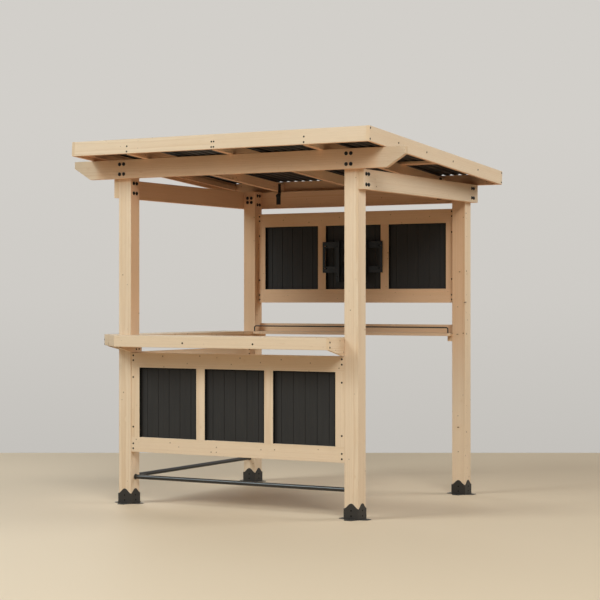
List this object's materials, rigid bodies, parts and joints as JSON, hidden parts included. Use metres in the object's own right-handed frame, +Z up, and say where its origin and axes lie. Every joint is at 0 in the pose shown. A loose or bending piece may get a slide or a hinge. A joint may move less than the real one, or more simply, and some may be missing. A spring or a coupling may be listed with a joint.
{
  "type": "bar gazebo",
  "caption": "Open timber bar gazebo with a single-pitch corrugated roof, panelled walls, an L-shaped counter, a back shelf, foot rails and a screen bracket.",
  "frame": {"origin": "on the floor, at the middle of the whole object's plan", "axes": "+X to the right along the bar front, towards the open entrance side; +Y from the bar front to the back; +Z up"},
  "size_m": [2.27, 1.8412, 2.1915],
  "materials": {
    "spruce": "planed, oiled spruce with fine straight grain and small knots",
    "charcoal_boards": "matte charcoal stain on grooved boards",
    "anchor_steel": "matte charcoal powder coat",
    "black_steel": "satin black powder coat",
    "roof_steel": "satin dark coated corrugated sheet"
  },
  "bodies": {
    "root": {"post_front_left": "spruce", "post_front_right": "spruce", "post_back_left": "spruce", "post_back_right": "spruce", "front_header": "spruce", "back_header": "spruce", "side_beam_left": "spruce", "side_beam_right": "spruce", "rafter_left": "spruce", "rafter_middle": "spruce", "rafter_right": "spruce", "fascia_front": "spruce", "fascia_back": "spruce", "fascia_left": "spruce", "fascia_right": "spruce", "roof_side_battens": "spruce", "roof_purlins": "spruce", "front_wall_rails": "spruce", "front_wall_stiles": "spruce", "left_wall_rails": "spruce", "left_wall_stiles": "spruce", "back_wall_rails": "spruce", "back_wall_stiles": "spruce", "counter_top_front": "spruce", "counter_top_left": "spruce", "counter_apron_front": "spruce", "counter_apron_corner": "spruce", "counter_apron_left": "spruce", "counter_brackets": "spruce", "back_shelf": "spruce", "shelf_backboard": "spruce", "shelf_cleats": "spruce", "front_wall_boards": "charcoal_boards", "left_wall_boards": "charcoal_boards", "back_wall_boards": "charcoal_boards", "anchor_front_left": "anchor_steel", "anchor_front_right": "anchor_steel", "anchor_back_left": "anchor_steel", "anchor_back_right": "anchor_steel", "rafter_straps": "black_steel", "shelf_guard_rail": "black_steel", "screen_wall_plate": "black_steel", "screen_arms": "black_steel", "foot_rails": "black_steel", "roof_sheet": "roof_steel"}
  },
  "joints": []
}
